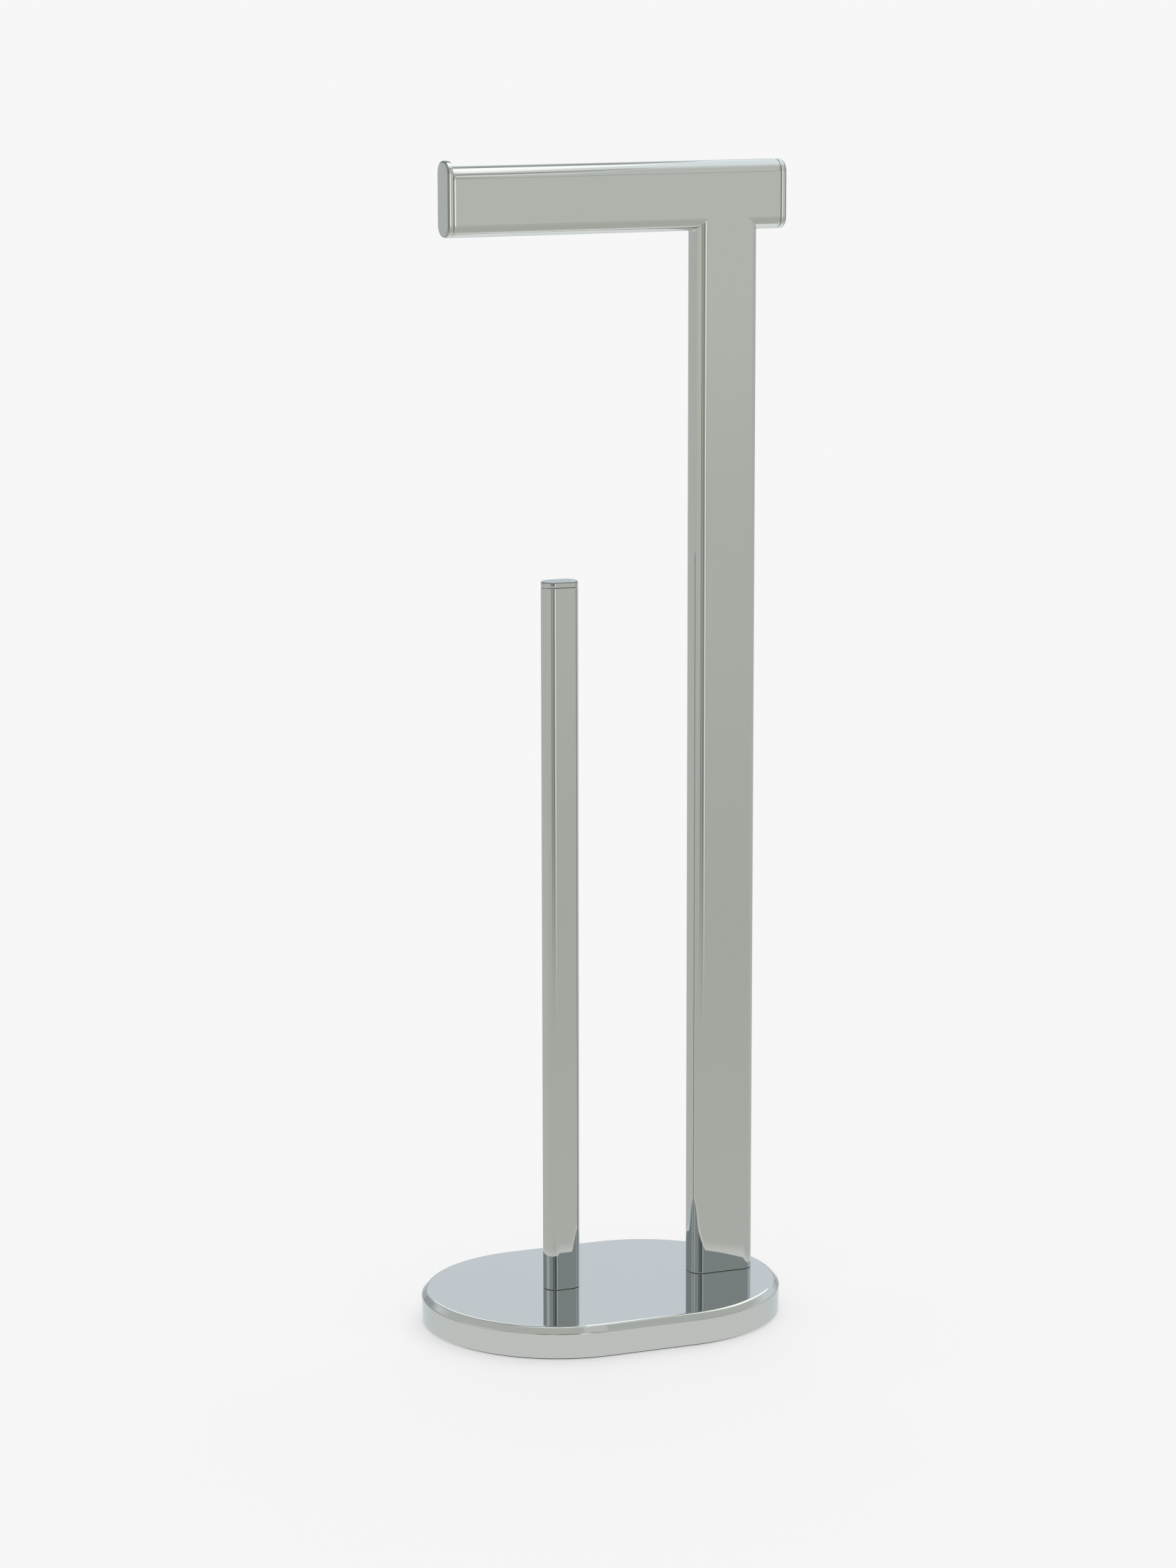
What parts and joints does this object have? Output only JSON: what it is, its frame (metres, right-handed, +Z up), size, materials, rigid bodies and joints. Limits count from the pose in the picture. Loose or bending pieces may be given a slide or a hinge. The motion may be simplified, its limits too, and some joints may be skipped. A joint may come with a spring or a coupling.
{
  "type": "toilet roll holder",
  "caption": "Free-standing chromed toilet roll holder: weighted pill-shaped base, flat-oval upright with a lipped roll arm, and a shorter post for spare rolls.",
  "frame": {"origin": "centre of the base's flat underside, on the surface that it stands on", "axes": "+Z up, +X along the roll arm from its lipped free end towards the upright, +Y to the back, so the pictured front faces -Y"},
  "size_m": [0.1949, 0.143, 0.603],
  "materials": {
    "polished_chrome": "bright chrome plating, polished",
    "cast_iron": "rough casting, dipped in black paint",
    "foam_pad": "closed-cell anti-slip foam sheet",
    "bare_steel": "machined, uncoated",
    "zinc_plate": "bright zinc plating"
  },
  "bodies": {
    "root": {"base_cover": "polished_chrome", "base_ballast": "cast_iron", "base_pad": "foam_pad", "upright_tube": "polished_chrome", "upright_foot_block": "bare_steel", "upright_screw_left": "zinc_plate", "upright_screw_right": "zinc_plate", "upright_lock_washer_left": "zinc_plate", "upright_lock_washer_right": "zinc_plate", "upright_flat_washer_left": "zinc_plate", "upright_flat_washer_right": "zinc_plate", "arm_tube": "polished_chrome", "arm_lip_cap": "polished_chrome", "arm_end_cap": "polished_chrome", "spare_post_tube": "polished_chrome", "spare_post_cap": "polished_chrome", "spare_post_foot_block": "bare_steel", "spare_post_screw": "zinc_plate", "spare_post_lock_washer": "zinc_plate", "spare_post_flat_washer": "zinc_plate"}
  },
  "joints": []
}
